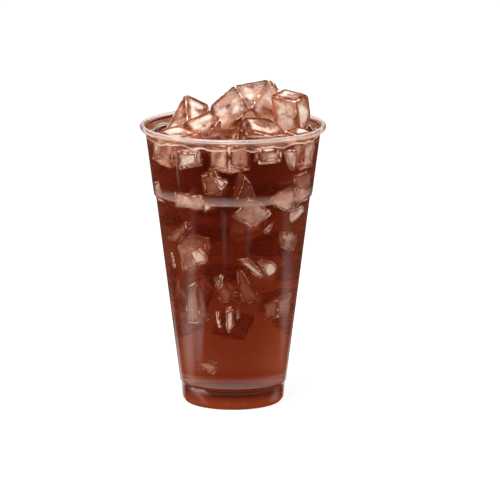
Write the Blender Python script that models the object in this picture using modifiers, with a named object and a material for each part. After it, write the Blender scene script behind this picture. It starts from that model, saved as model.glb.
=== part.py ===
"""A tall clear cold cup of iced chocolate coffee, filled to just under its rolled rim and heaped with ice.

The model is in metres with +Z up. Its origin is the middle of the cup's underside, and -Y is the front.
"""

import math
import random
from collections import namedtuple

import bmesh
import bpy
from mathutils import Matrix, Vector

MM = 0.001

# Driving sizes of the cup, which is one thin sheet of clear plastic formed in a mould
CUP_HEIGHT = 149.0 * MM
RIM_RADIUS = 49.0 * MM
WALL = 0.6 * MM
FOOT_RADIUS = 26.8 * MM
SIDES = 60

# The rolled lip: the sheet curls outwards and back down, and stops short of the wall
CURL_RADIUS = 0.9 * MM
CURL_END = -110.0
CURL_STEPS = 9

# The wall is three plain tapers, with a stacking shoulder and a low step between them
SHOULDER_HEIGHT = 112.4 * MM
SHOULDER_DEPTH = 2.4 * MM
SHOULDER_STEP = 1.25 * MM
SHOULDER_RADIUS = 41.8 * MM
STEP_HEIGHT = 11.6 * MM
STEP_DEPTH = 1.4 * MM
STEP_WIDTH = 0.8 * MM
STEP_RADIUS = 28.1 * MM
EASE_STEPS = 3

# The underside: a flat ring to stand on, round a panel that is pushed up
CORNER_RADIUS = 3.0 * MM
CORNER_STEPS = 4
RING_WIDTH = 2.2 * MM
PANEL_RISE = 2.4 * MM
PANEL_SLOPE = 1.6 * MM

# The drink, and the clearance that keeps neighbouring pieces apart
DRINK_LEVEL = 142.5 * MM
GAP = 0.3 * MM

# Ice: how much the corners of a block wander from square, and how round its edges have melted
ICE_UNEVEN = 0.03
ICE_EDGE = 0.9 * MM
ICE_EDGE_STEPS = 2
ICE_SEED = 11

# A block of ice: its three sides and the place of its middle in millimetres, then its turns in degrees.
# It is first turned about Z by yaw, then its top nods towards the front, then it leans to the right.
# Each break is a flat face left by a piece that came off: the way it faces, and its distance from the middle.
# The five large chips were split from a bigger block on every side, so all their faces are breaks.
Ice = namedtuple("Ice", "name sides place yaw nod lean breaks", defaults=((),))

ICE_BLOCKS = (
    Ice(
        "ice_back_left", (44, 44, 44), (-22, 23.5, 148), 0, 0, 0,
        (
            ((-0.5, -0.67, 0.55), 8.7), ((0.48, -0.62, 0.61), 6.3), ((0.29, 0.57, 0.77), 9.5),
            ((-0.88, 0.12, 0.45), 9), ((1, 0, 0), 9), ((-0.6, 0.8, 0), 8.7), ((0, 1, 0), 13),
            ((0, -1, 0), 11.7), ((0, 0, -1), 10.5),
        ),
    ),
    Ice(
        "ice_peak", (44, 44, 44), (6, 25, 152), 0, 0, 0,
        (
            ((-0.08, -0.68, 0.73), 8.6), ((-0.56, -0.72, 0.41), 7.1), ((0.64, -0.73, 0.25), 10.4),
            ((-0.17, 0.62, 0.77), 12.1), ((-0.58, 0.38, 0.72), 13.4), ((0.86, 0.15, 0.49), 21.2),
            ((0.05, -0.88, -0.47), 9.5), ((-1, 0, 0), 18.1), ((1, 0, 0), 21.5), ((0, 1, 0), 12.5),
            ((0.6, 0.8, 0), 18.8), ((0, 0, -1), 14),
        ),
    ),
    Ice(
        "ice_back_right", (44, 44, 44), (29, 15, 150), 0, 0, 0,
        (
            ((0.03, -0.24, 0.97), 11.6), ((-0.48, -0.86, -0.15), 4.6), ((0.78, -0.63, 0.02), 8.6),
            ((0.48, 0.86, 0.15), 7.6), ((-0.78, 0.63, -0.02), 5.9), ((-0.59, 0.79, -0.16), 11.9),
            ((0.9, 0.35, -0.27), 11.5), ((0.81, 0.52, -0.27), 11.3), ((0, 0, -1), 13.5),
        ),
    ),
    Ice(
        "ice_mid_left", (44, 44, 44), (-15.5, 1, 144), 0, 0, 0,
        (
            ((-0.09, -0.58, 0.81), 4.5), ((-0.1, -0.93, -0.35), 6.2), ((0.8, -0.6, -0.1), 6.2),
            ((-0.85, -0.52, 0), 9), ((-0.4, 0.9, 0.15), 6.8), ((0.72, 0.68, 0.1), 8.6), ((0, 1, 0), 10),
            ((0, 0, -1), 8),
        ),
    ),
    Ice("ice_front_left", (16, 16, 16), (-29.5, -14, 139.5), 45, 12, 3),
    Ice(
        "ice_mid_right", (44, 44, 44), (16, 3, 143), 0, 0, 0,
        (
            ((0.18, -0.45, 0.88), 4), ((-0.93, -0.36, 0.08), 9.6), ((-0.1, -0.98, -0.15), 6.6),
            ((0.45, -0.89, -0.1), 8.3), ((0.93, 0.36, 0.1), 10.2), ((-0.25, 0.95, 0.2), 7.7),
            ((0.4, 0.9, 0.2), 8.1), ((0, 0, -1), 7.5),
        ),
    ),
    Ice(
        "ice_shard", (7, 7, 16), (3.2, -9.5, 143.5), 35, 6, 8,
        (((0.8, -0.1, 0.6), 5), ((-0.7, -0.2, 0.7), 5)),
    ),
    Ice("ice_right", (12, 11, 19), (33.8, -13.5, 138.5), 50, 10, 6),
    Ice("ice_front", (15, 15, 14.5), (-1.7, -31.5, 138), 44, 6, 0),
    Ice("ice_front_right", (12.5, 11, 8), (17.5, -32.3, 139), 18, 3, 0),
)


def arc(centre, radius, start, end, steps):
    """Points (radius from the axis, height) along an arc, from start to end degrees."""
    angles = [math.radians(start + (end - start) * i / steps) for i in range(steps + 1)]
    return [(centre[0] + radius * math.cos(a), centre[1] + radius * math.sin(a)) for a in angles]


def eased_step(low, high, steps):
    """Points from low to high along a smooth S, as a moulded step runs."""
    points = []
    for i in range(steps + 1):
        share = i / steps
        across = share * share * (3 - 2 * share)
        points.append((low[0] + (high[0] - low[0]) * across, low[1] + (high[1] - low[1]) * share))
    return points


def cup_skin():
    """The outside of the sheet, as (radius, height) from the middle of the underside up to the curl's end."""
    ring_outer = FOOT_RADIUS - CORNER_RADIUS
    ring_inner = ring_outer - RING_WIDTH
    underside = [(0.0, PANEL_RISE), (ring_inner - PANEL_SLOPE, PANEL_RISE), (ring_inner, 0.0)]
    corner = arc((ring_outer, CORNER_RADIUS), CORNER_RADIUS, -90, 0, CORNER_STEPS)
    low_step = eased_step(
        (STEP_RADIUS - STEP_WIDTH, STEP_HEIGHT - STEP_DEPTH), (STEP_RADIUS, STEP_HEIGHT), EASE_STEPS
    )
    shoulder = eased_step(
        (SHOULDER_RADIUS - SHOULDER_STEP, SHOULDER_HEIGHT - SHOULDER_DEPTH),
        (SHOULDER_RADIUS, SHOULDER_HEIGHT),
        EASE_STEPS,
    )
    curl_centre = (RIM_RADIUS - WALL - CURL_RADIUS, CUP_HEIGHT - WALL - CURL_RADIUS)
    curl = arc(curl_centre, CURL_RADIUS, 180, CURL_END, CURL_STEPS)
    return underside + corner + low_step + shoulder + curl


def offset_inwards(points, distance):
    """The same line moved by distance towards the inside of the cup, with mitred corners."""
    moved = []
    for i, (r, z) in enumerate(points):
        before = Vector(points[max(i - 1, 0)])
        after = Vector(points[min(i + 1, len(points) - 1)])
        here = Vector((r, z))
        into = (here - before).normalized() if i else (after - here).normalized()
        out = (after - here).normalized() if i < len(points) - 1 else into
        normal = Vector((-into.y - out.y, into.x + out.x)).normalized()
        stretch = distance / max(normal.dot(Vector((-into.y, into.x))), 0.5)
        moved.append((max(r + normal.x * stretch, 0.0), z + normal.y * stretch))
    return moved


def material(name, colour, roughness, alpha=1.0, transmission=0.0):
    made = bpy.data.materials.new(name)
    made.use_nodes = True
    shader = made.node_tree.nodes["Principled BSDF"]
    shader.inputs["Base Color"].default_value = (*colour, 1.0)
    shader.inputs["Roughness"].default_value = roughness
    shader.inputs["Metallic"].default_value = 0.0
    shader.inputs["Alpha"].default_value = alpha
    shader.inputs["Transmission Weight"].default_value = transmission
    made.diffuse_color = (*colour, alpha)
    return made


def add_object(name, mesh, collection, finish=None):
    made = bpy.data.objects.new(name, mesh)
    collection.objects.link(made)
    if finish:
        mesh.materials.append(finish)
    return made


def turned(name, profile, collection, finish):
    """A profile that runs down its outer side at +X, turned about Z."""
    mesh = bpy.data.meshes.new(name)
    vertices = [(r, 0.0, z) for r, z in profile]
    edges = [(i, i + 1) for i in range(len(vertices) - 1)]
    mesh.from_pydata(vertices, edges, [])
    made = add_object(name, mesh, collection, finish)
    screw = made.modifiers.new("turn", "SCREW")
    screw.axis = "Z"
    screw.angle = math.tau
    screw.steps = SIDES
    screw.render_steps = SIDES
    screw.use_merge_vertices = True
    screw.merge_threshold = 0.01 * MM
    screw.use_smooth_shade = True
    return made


def make_cup(collection, finish):
    """One thin sheet: the outer skin turned about Z, with its thickness on the inside."""
    cup = turned("cup", cup_skin()[::-1], collection, finish)
    sheet = cup.modifiers.new("wall", "SOLIDIFY")
    sheet.thickness = WALL
    sheet.offset = -1.0
    sheet.use_even_offset = True
    return cup


def make_drink(collection, finish, hollows):
    """The drink fills the cup up to its level, with a hollow round each block of ice that breaks its surface."""
    inside = offset_inwards(cup_skin(), WALL + GAP)
    below = [point for point in inside if point[1] < DRINK_LEVEL - GAP and point[0] < RIM_RADIUS - WALL]
    low, high = below[-1], inside[len(below)]
    share = (DRINK_LEVEL - low[1]) / (high[1] - low[1])
    edge = (low[0] + (high[0] - low[0]) * share, DRINK_LEVEL)
    drink = turned("drink", [(0.0, DRINK_LEVEL), edge] + below[::-1], collection, finish)
    cut = drink.modifiers.new("round_the_ice", "BOOLEAN")
    cut.operation = "DIFFERENCE"
    cut.operand_type = "COLLECTION"
    cut.collection = hollows
    cut.solver = "EXACT"
    return drink


def block_turn(block):
    """How a block of ice lies: turned by yaw, nodded to the front, then leant to the right."""
    yaw = Matrix.Rotation(math.radians(block.yaw), 4, "Z")
    nod = Matrix.Rotation(math.radians(block.nod), 4, "X")
    lean = Matrix.Rotation(math.radians(block.lean), 4, "Y")
    return lean @ nod @ yaw


def break_off(bm, facing, distance):
    """Takes away what lies beyond a flat break, and closes the block again with one face."""
    facing = Vector(facing).normalized()
    whole = bm.verts[:] + bm.edges[:] + bm.faces[:]
    cut = bmesh.ops.bisect_plane(
        bm, geom=whole, plane_co=facing * distance * MM, plane_no=facing, clear_outer=True
    )
    rim = [item for item in cut["geom_cut"] if isinstance(item, bmesh.types.BMEdge)]
    bmesh.ops.edgeloop_fill(bm, edges=rim)


def ice_mesh(block, number, grow):
    """An uneven block with melted edges. Grow makes it that much larger all round, to cut its hollow."""
    draw = random.Random(ICE_SEED + number)
    half = [side * MM / 2 for side in block.sides]
    bm = bmesh.new()
    bmesh.ops.create_cube(bm, size=2.0)
    for corner in bm.verts:
        uneven = [1 + draw.uniform(-ICE_UNEVEN, ICE_UNEVEN) for _ in half]
        corner.co = Vector([c * h * u for c, h, u in zip(corner.co, half, uneven)])
    bmesh.ops.transform(bm, matrix=block_turn(block), verts=bm.verts)
    for facing, distance in block.breaks:
        break_off(bm, facing, distance)
    bmesh.ops.remove_doubles(bm, verts=bm.verts, dist=2 * ICE_EDGE)
    bmesh.ops.recalc_face_normals(bm, faces=bm.faces)
    bmesh.ops.bevel(
        bm,
        geom=bm.edges[:],
        offset=ICE_EDGE,
        segments=ICE_EDGE_STEPS,
        profile=0.5,
        affect="EDGES",
        clamp_overlap=True,
        material=-1,
    )
    for vertex in bm.verts:
        vertex.co += vertex.normal * grow
    bmesh.ops.triangulate(bm, faces=bm.faces)
    mesh = bpy.data.meshes.new(block.name)
    bm.to_mesh(mesh)
    bm.free()
    return mesh


def make_ice(collection, hollows, finish):
    """Each block that shows above the drink, and the larger copy that cuts its hollow."""
    for number, block in enumerate(ICE_BLOCKS):
        made = add_object(block.name, ice_mesh(block, number, 0.0), collection, finish)
        made.location = Vector(block.place) * MM
        hollow = add_object(block.name + "_hollow", ice_mesh(block, number, GAP), hollows)
        hollow.location = made.location
        hollow.hide_render = True
        hollow.display_type = "WIRE"


def main():
    for old in list(bpy.data.objects):
        bpy.data.objects.remove(old, do_unlink=True)
    whole = bpy.data.collections.new("iced_chocolate_coffee")
    hollows = bpy.data.collections.new("cutters")
    for collection in (whole, hollows):
        bpy.context.scene.collection.children.link(collection)
    hollows.hide_render = True

    clear = material("clear_plastic", (0.96, 0.95, 0.94), 0.06, alpha=0.3, transmission=1.0)
    brown = material("chocolate_coffee", (0.24, 0.06, 0.02), 0.05)
    frosty = material("ice", (0.86, 0.72, 0.65), 0.12, transmission=0.6)
    make_cup(whole, clear)
    make_ice(whole, hollows, frosty)
    make_drink(whole, brown, hollows)


main()
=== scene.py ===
# %% [markdown]
# # Iced chocolate coffee in a clear cold cup
#
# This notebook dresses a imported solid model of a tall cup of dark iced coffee. The solid parts give the
# sizes and places. Here the cup becomes thin clear plastic, the drink becomes a real liquid that swallows
# light, and the ice becomes melted blocks with cloudy middles.
#
# Everything is in metres, with +Z up, the origin in the middle of the cup's underside and -Y to the front.

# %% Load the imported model
import math
import random

import bmesh
import bpy
import numpy as np
from mathutils import Matrix, Vector, noise
from mathutils.bvhtree import BVHTree


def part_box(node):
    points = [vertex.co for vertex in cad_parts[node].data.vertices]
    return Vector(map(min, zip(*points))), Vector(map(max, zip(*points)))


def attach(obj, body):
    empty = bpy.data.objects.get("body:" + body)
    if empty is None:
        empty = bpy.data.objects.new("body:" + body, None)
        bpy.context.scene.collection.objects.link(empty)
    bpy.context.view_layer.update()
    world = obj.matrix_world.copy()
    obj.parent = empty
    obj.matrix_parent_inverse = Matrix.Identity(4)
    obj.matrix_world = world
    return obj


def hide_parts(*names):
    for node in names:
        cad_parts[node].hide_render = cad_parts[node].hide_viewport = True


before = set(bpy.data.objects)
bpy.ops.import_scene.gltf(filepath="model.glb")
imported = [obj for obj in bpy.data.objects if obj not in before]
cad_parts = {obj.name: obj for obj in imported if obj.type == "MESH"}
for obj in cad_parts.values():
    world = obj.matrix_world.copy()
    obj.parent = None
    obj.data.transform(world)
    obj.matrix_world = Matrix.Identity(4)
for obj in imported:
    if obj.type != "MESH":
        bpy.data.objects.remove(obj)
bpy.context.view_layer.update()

MM = 0.001
print("packed pieces:", sorted(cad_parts))

# %% [markdown]
# ## Camera
#
# The cup is seen from a little above and from far away, so its sides hardly converge. That takes a long
# lens, which is a large focal length on a camera that stands well back. The place and the lens below
# were worked out from the ellipses of the rim and of the base.

# %% Set the camera
LENS = 362.2
SENSOR_WIDTH = 36.0
CAMERA_PLACE = (0.00893, -2.600, 0.6313)
CAMERA_PITCH = 78.05
NEAREST_SEEN = 0.05

camera_data = bpy.data.cameras.new("camera")
camera_data.lens = LENS
camera_data.sensor_width = SENSOR_WIDTH
camera_data.clip_start = NEAREST_SEEN
camera = bpy.data.objects.new("camera", camera_data)
camera.location = CAMERA_PLACE
camera.rotation_euler = (math.radians(CAMERA_PITCH), 0.0, 0.0)
bpy.context.scene.collection.objects.link(camera)
bpy.context.scene.camera = camera
print("the camera stands", -CAMERA_PLACE[1], "m back with a lens of", LENS, "mm")

# %% [markdown]
# ## Studio
#
# A dark clear drink is shown by what lies behind it, so the floor and the sky are pale. What the shiny
# surfaces mirror is another matter: a white room mirrored in the whole cup would wash its colour out. So
# the sky is dark for mirrored rays, and only a few soft boxes show in the plastic as tall streaks. A
# light path node tells how often a ray has been mirrored, and how many clear faces it has crossed.
#
# Nodes take many lines to make and join, so the small helpers below make one node each. They are used
# for the sky, for the lamps and for every finish.

# %% Helpers that make one node each
def maths(tree, operation, first, second):
    """One Math node. Each side is a socket or a number."""
    node = tree.nodes.new("ShaderNodeMath")
    node.operation = operation
    for i, value in enumerate((first, second)):
        if isinstance(value, (int, float)):
            node.inputs[i].default_value = value
        else:
            tree.links.new(value, node.inputs[i])
    return node.outputs[0]


def map_range(tree, source, low, high, to_low, to_high, kind="SMOOTHSTEP"):
    """Rescales a number, with soft ends."""
    node = tree.nodes.new("ShaderNodeMapRange")
    node.interpolation_type = kind
    node.inputs["From Min"].default_value = low
    node.inputs["From Max"].default_value = high
    node.inputs["To Min"].default_value = to_low
    node.inputs["To Max"].default_value = to_high
    tree.links.new(source, node.inputs["Value"])
    return node.outputs["Result"]


def blend(tree, share, first, second):
    """Mixes two colours. Each is a socket or a colour, and the share is a socket."""
    node = tree.nodes.new("ShaderNodeMix")
    node.data_type = "RGBA"
    tree.links.new(share, node.inputs["Factor"])
    for name, colour in (("A", first), ("B", second)):
        if isinstance(colour, tuple):
            node.inputs[name].default_value = (*colour, 1.0)
        else:
            tree.links.new(colour, node.inputs[name])
    return node.outputs["Result"]


# %% A sky that is pale to look through and dark to mirror
SKY_SEEN = (1.0, 1.0, 1.0)
SKY_LIGHT = (0.80, 0.79, 0.78)
MIRRORED_OUTSIDE = (0.12, 0.05, 0.03)
MIRRORED_INSIDE = (0.55, 0.27, 0.16)
# Depths are whole numbers: this parts none from one, and the next parts seven faces from eight.
AT_ALL = 0.5
THROUGH_THE_DRINK = 7.5


def darker_mirrored(tree, seen):
    """The seen colour, but a dark one for rays that were mirrored and didn't go right through the drink."""
    ray = tree.nodes.new("ShaderNodeLightPath")
    crossed = ray.outputs["Transmission Depth"]
    inside = maths(tree, "GREATER_THAN", crossed, AT_ALL)
    dark = blend(tree, inside, MIRRORED_OUTSIDE, MIRRORED_INSIDE)
    far = maths(tree, "GREATER_THAN", crossed, THROUGH_THE_DRINK)
    dark = blend(tree, far, dark, seen)
    mirrored = maths(tree, "GREATER_THAN", ray.outputs["Glossy Depth"], AT_ALL)
    return blend(tree, mirrored, seen, dark)


def make_sky():
    """The sky's colour depends on what kind of ray meets it."""
    world = bpy.data.worlds.new("studio_sky")
    world.use_nodes = True
    tree = world.node_tree
    tree.nodes.clear()
    ray = tree.nodes.new("ShaderNodeLightPath")
    plain = blend(tree, ray.outputs["Is Diffuse Ray"], SKY_SEEN, SKY_LIGHT)
    background = tree.nodes.new("ShaderNodeBackground")
    tree.links.new(darker_mirrored(tree, plain), background.inputs["Color"])
    out = tree.nodes.new("ShaderNodeOutputWorld")
    tree.links.new(background.outputs[0], out.inputs["Surface"])
    bpy.context.scene.world = world


make_sky()
print("sky:", bpy.context.scene.world.name)

# %% The floor
FLOOR_SIZE = 12.0
FLOOR_MIDDLE = (0.0, 3.0, 0.0)
FLOOR_COLOUR = (0.24, 0.24, 0.24)
FLOOR_GLOW = (0.79, 0.79, 0.79)
FLOOR_ROUGHNESS = 0.9


def make_floor():
    """A wide pale floor that looks dark in mirrored rays too."""
    bm = bmesh.new()
    bmesh.ops.create_grid(bm, x_segments=1, y_segments=1, size=FLOOR_SIZE / 2)
    bmesh.ops.translate(bm, verts=bm.verts, vec=FLOOR_MIDDLE)
    mesh = bpy.data.meshes.new("floor")
    bm.to_mesh(mesh)
    bm.free()
    floor = bpy.data.objects.new("floor", mesh)
    bpy.context.scene.collection.objects.link(floor)
    paint = bpy.data.materials.new("pale_floor")
    paint.use_nodes = True
    tree = paint.node_tree
    shader = tree.nodes["Principled BSDF"]
    for seen, socket in ((FLOOR_COLOUR, "Base Color"), (FLOOR_GLOW, "Emission Color")):
        tree.links.new(darker_mirrored(tree, seen), shader.inputs[socket])
    shader.inputs["Emission Strength"].default_value = 1.0
    shader.inputs["Roughness"].default_value = FLOOR_ROUGHNESS
    shader.inputs["Specular IOR Level"].default_value = 0.0
    mesh.materials.append(paint)
    floor.visible_glossy = False


make_floor()
print("the floor is", FLOOR_SIZE, "m wide")

# %% Soft boxes
SOFT_BOXES = (
    # name, place, width and height, watts
    ("top_box", (-0.25, -0.35, 1.25), (0.8, 0.8), 16.0),
    ("left_box", (-1.10, -0.35, 0.55), (0.5, 0.7), 5.0),
    ("right_box", (1.05, -0.25, 0.55), (0.5, 0.7), 4.0),
)
LIT_POINT = Vector((0.0, 0.0, 0.09))


def make_soft_box(name, place, size, watts, target=LIT_POINT):
    """A flat lamp that looks at the cup."""
    lamp = bpy.data.lights.new(name, "AREA")
    lamp.shape = "RECTANGLE"
    lamp.size, lamp.size_y = size
    lamp.energy = watts
    box = bpy.data.objects.new(name, lamp)
    box.location = place
    box.rotation_euler = (target - Vector(place)).to_track_quat("-Z", "Y").to_euler()
    box.visible_transmission = False
    bpy.context.scene.collection.objects.link(box)
    return box


for soft_box in SOFT_BOXES:
    make_soft_box(*soft_box)
print("soft boxes:", len(SOFT_BOXES))

# %% [markdown]
# The cup's wall leans outwards, so it mirrors what stands lower than the table. The tall streaks in the
# plastic come from soft cards down there: the floor hides them from everything but mirrored rays. A
# card that is as bright at its edge as in its middle would give a streak with hard sides, so each card
# fades towards all four edges.

# %% A place round the cup, and a card that fades towards its edges
CARD_STRENGTH = 2.2
HALF_WAY = 0.5


def place_round(way, distance, height):
    """The point at a way round from the front, in degrees, and at a distance from the cup's axis."""
    turn = math.radians(way)
    return Vector((distance * math.sin(turn), -distance * math.cos(turn), height))


def fade_edges(lamp):
    """Makes the lamp brightest in its middle, so that its mirror image has no hard edge."""
    lamp.use_nodes = True
    tree = lamp.node_tree
    where = tree.nodes.new("ShaderNodeNewGeometry")
    split = tree.nodes.new("ShaderNodeSeparateXYZ")
    tree.links.new(where.outputs["Parametric"], split.inputs[0])
    strength = CARD_STRENGTH
    for axis in ("X", "Y"):
        to_edge = maths(tree, "PINGPONG", split.outputs[axis], HALF_WAY)
        rise = map_range(tree, to_edge, 0.0, HALF_WAY, 0.0, 1.0)
        strength = maths(tree, "MULTIPLY", rise, strength)
    tree.links.new(strength, tree.nodes["Emission"].inputs["Strength"])


# %% Cards that only the plastic mirrors
CARDS = (
    # name, way round from the front, height, width and height, watts
    ("card_left", -92.0, -0.445, (1.5, 0.14), 0.55),
    ("card_left_high", -84.0, -0.26, (0.11, 0.12), 0.035),
    ("card_right", 108.0, -0.36, (1.2, 0.15), 0.22),
    ("card_left_low", -70.0, -0.505, (0.80, 0.10), 0.20),
    ("card_front_left", -14.0, -0.44, (0.20, 0.16), 0.030),
    ("card_front_right", 26.0, -0.42, (0.26, 0.16), 0.035),
    ("card_behind_left", -160.0, -0.36, (0.8, 0.3), 0.5),
    ("card_behind_right", 165.0, -0.36, (0.6, 0.3), 0.4),
)
CARD_DISTANCE = 1.0

for name, way, height, size, watts in CARDS:
    spot = place_round(way, CARD_DISTANCE, height)
    fade_edges(make_soft_box(name, spot, size, watts, Vector((0.0, 0.0, height))).data)
print("cards:", len(CARDS))

# %% [markdown]
# ## How light is followed
#
# Looking into a glass of iced drink, a ray crosses the plastic, the drink and several blocks of ice, and
# each of them has two faces. So rays may bend more often than usual here. Filter Glossy and the clamp
# keep single bright dots out of the picture.

# %% Let rays go through many clear layers
MOST_BENDS = 24
MOST_MIRRORINGS = 6
MOST_SCATTERINGS = 4
MIRROR_BLUR = 0.5
BRIGHTEST_DOT = 6.0

scene = bpy.context.scene
scene.cycles.max_bounces = MOST_BENDS
scene.cycles.transmission_bounces = MOST_BENDS
scene.cycles.transparent_max_bounces = 2 * MOST_BENDS
scene.cycles.glossy_bounces = MOST_MIRRORINGS
scene.cycles.diffuse_bounces = MOST_SCATTERINGS
scene.cycles.blur_glossy = MIRROR_BLUR
scene.cycles.sample_clamp_indirect = BRIGHTEST_DOT
scene.cycles.use_denoising = True
scene.view_settings.view_transform = "Standard"
scene.view_settings.look = "None"
print("a ray may cross", scene.cycles.transmission_bounces, "clear faces")

# %% [markdown]
# ## The cup
#
# A cold cup is one sheet of clear plastic, pressed into a mould: three plain tapers with a stacking
# shoulder and a low step between them, a raised panel underneath and a rolled lip. Every part of it is
# round, so the sheet's cross-section is drawn once and spun about the upright axis. The outline below
# goes up the outside of the sheet and comes back down its inside, so the spin gives a closed wall.

# %% Sizes of the cup
CUP_HEIGHT = 149.0 * MM
RIM_RADIUS = 49.0 * MM
WALL = 0.4 * MM
FOOT_RADIUS = 26.8 * MM
CURL_RADIUS = 1.1 * MM
CURL_END = -110.0
SHOULDER_HEIGHT = 112.4 * MM
SHOULDER_DEPTH = 2.4 * MM
SHOULDER_STEP = 1.25 * MM
SHOULDER_RADIUS = 41.8 * MM
STEP_HEIGHT = 11.6 * MM
STEP_DEPTH = 1.4 * MM
STEP_WIDTH = 0.8 * MM
STEP_RADIUS = 28.1 * MM
CORNER_RADIUS = 3.0 * MM
RING_WIDTH = 2.2 * MM
PANEL_RISE = 2.4 * MM
PANEL_SLOPE = 1.6 * MM
CUP_TURNS = 288
CORNER_ROWS = 8
STEP_ROWS = 6
SHOULDER_ROWS = 8
CURL_ROWS = 20
FIRST_WET_ROW = 139.0
WET_ROW_SPACING = 0.35
WET_ROWS = [(FIRST_WET_ROW + WET_ROW_SPACING * i) * MM for i in range(20)]


def arc(centre, radius, start, end, steps):
    """Points (radius from the axis, height) along an arc, from start to end degrees."""
    angles = [math.radians(start + (end - start) * i / steps) for i in range(steps + 1)]
    return [(centre[0] + radius * math.cos(a), centre[1] + radius * math.sin(a)) for a in angles]


def eased_step(low, high, steps):
    """Points from low to high along a smooth S, as a moulded step runs."""
    points = []
    for i in range(steps + 1):
        share = i / steps
        across = share * share * (3 - 2 * share)
        points.append((low[0] + (high[0] - low[0]) * across, low[1] + (high[1] - low[1]) * share))
    return points


def rows_between(low, high, heights):
    """Points of the straight line from low to high, at the given heights."""
    slope = (high[0] - low[0]) / (high[1] - low[1])
    return [(low[0] + (z - low[1]) * slope, z) for z in heights]


def cup_skin():
    """The outside of the sheet, from the middle of the underside up to the curl's end."""
    ring_outer = FOOT_RADIUS - CORNER_RADIUS
    ring_inner = ring_outer - RING_WIDTH
    points = [(0.0, PANEL_RISE), (ring_inner - PANEL_SLOPE, PANEL_RISE), (ring_inner, 0.0)]
    points += arc((ring_outer, CORNER_RADIUS), CORNER_RADIUS, -90, 0, CORNER_ROWS)
    under_step = (STEP_RADIUS - STEP_WIDTH, STEP_HEIGHT - STEP_DEPTH)
    points += eased_step(under_step, (STEP_RADIUS, STEP_HEIGHT), STEP_ROWS)
    under_shoulder = (SHOULDER_RADIUS - SHOULDER_STEP, SHOULDER_HEIGHT - SHOULDER_DEPTH)
    points += eased_step(under_shoulder, (SHOULDER_RADIUS, SHOULDER_HEIGHT), SHOULDER_ROWS)
    curl_centre = (RIM_RADIUS - WALL - CURL_RADIUS, CUP_HEIGHT - WALL - CURL_RADIUS)
    curl = arc(curl_centre, CURL_RADIUS, 180, CURL_END, CURL_ROWS)
    points += rows_between(points[-1], curl[0], WET_ROWS)
    return points + curl


print("points along the sheet:", len(cup_skin()))

# %% Move a line of points sideways
SHARPEST_MITRE = 0.5


def offset_inwards(points, distance):
    """The same line moved by distance towards the inside of the cup, with mitred corners."""
    moved = []
    for i, (r, z) in enumerate(points):
        before = Vector(points[max(i - 1, 0)])
        after = Vector(points[min(i + 1, len(points) - 1)])
        here = Vector((r, z))
        into = (here - before).normalized() if i else (after - here).normalized()
        out = (after - here).normalized() if i < len(points) - 1 else into
        normal = Vector((-into.y - out.y, into.x + out.x)).normalized()
        stretch = distance / max(normal.dot(Vector((-into.y, into.x))), SHARPEST_MITRE)
        moved.append((max(r + normal.x * stretch, 0.0), z + normal.y * stretch))
    return moved


# %% Spin an outline about the upright axis
SEAM_GAP = 0.003 * MM


def spun(points, turns):
    """A bmesh of the outline turned once about Z, closed at its seam and at its poles."""
    bm = bmesh.new()
    line = [bm.verts.new((r, 0.0, z)) for r, z in points]
    edges = [bm.edges.new(pair) for pair in zip(line, line[1:])]
    bmesh.ops.spin(
        bm,
        geom=line + edges,
        cent=(0.0, 0.0, 0.0),
        axis=(0.0, 0.0, 1.0),
        dvec=(0.0, 0.0, 0.0),
        angle=math.tau,
        steps=turns,
        use_merge=True,
        use_duplicate=False,
    )
    bmesh.ops.remove_doubles(bm, verts=bm.verts, dist=SEAM_GAP)
    bmesh.ops.recalc_face_normals(bm, faces=bm.faces)
    return bm


def add_piece(name, bm, finishes):
    """Turns a bmesh into a smooth object that rides on the part's one body."""
    mesh = bpy.data.meshes.new(name)
    bm.to_mesh(mesh)
    bm.free()
    for finish in finishes:
        mesh.materials.append(finish)
    mesh.shade_smooth()
    piece = bpy.data.objects.new(name, mesh)
    bpy.context.scene.collection.objects.link(piece)
    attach(piece, "root")
    mesh.calc_loop_triangles()
    print(name, "has", len(mesh.loop_triangles), "triangles")
    return piece


# %% [markdown]
# ## Clear plastic
#
# Pressed plastic is clear and glossy, with a bend in the light of about 1.5. In a path tracer a lamp's
# shadow ray stops at glass, and the drink inside would stay black. The usual cure is a second shader,
# used for shadow rays alone, that lets the lamp through.
#
# Above the stacking shoulder and the low step the plastic is partly white: a painted highlight, for the
# soft bright band that light gives just above each step. Along the lip, two thin white lines are painted
# highlights, which is what makes a rolled rim look double. All are bands of height, and in them the
# finish is partly white instead of clear.
#
# In the foot, where the plastic is thickest, it is partly a diffuse orange-brown instead of clear: painted
# light, for the glow that the table's light gives as it comes up through the drink. Clear plastic would
# bend the light in the corner so far that the foot showed a black band.

# %% Let lamps shine through a clear finish
def let_lamps_through(finish, tint):
    """Mixes in a Transparent shader for shadow rays."""
    nodes = finish.node_tree.nodes
    links = finish.node_tree.links
    out = nodes["Material Output"]
    shader = out.inputs["Surface"].links[0].from_socket
    ray = nodes.new("ShaderNodeLightPath")
    clear = nodes.new("ShaderNodeBsdfTransparent")
    clear.inputs["Color"].default_value = (*tint, 1.0)
    mix = nodes.new("ShaderNodeMixShader")
    links.new(ray.outputs["Is Shadow Ray"], mix.inputs[0])
    links.new(shader, mix.inputs[1])
    links.new(clear.outputs[0], mix.inputs[2])
    links.new(mix.outputs[0], out.inputs["Surface"])


def new_finish(name, colour, roughness, ior, transmission):
    """A Principled finish with its constant numbers set on its own sockets."""
    finish = bpy.data.materials.new(name)
    finish.use_nodes = True
    shader = finish.node_tree.nodes["Principled BSDF"]
    shader.inputs["Base Color"].default_value = (*colour, 1.0)
    shader.inputs["Roughness"].default_value = roughness
    shader.inputs["IOR"].default_value = ior
    shader.inputs["Transmission Weight"].default_value = transmission
    return finish, shader


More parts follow.
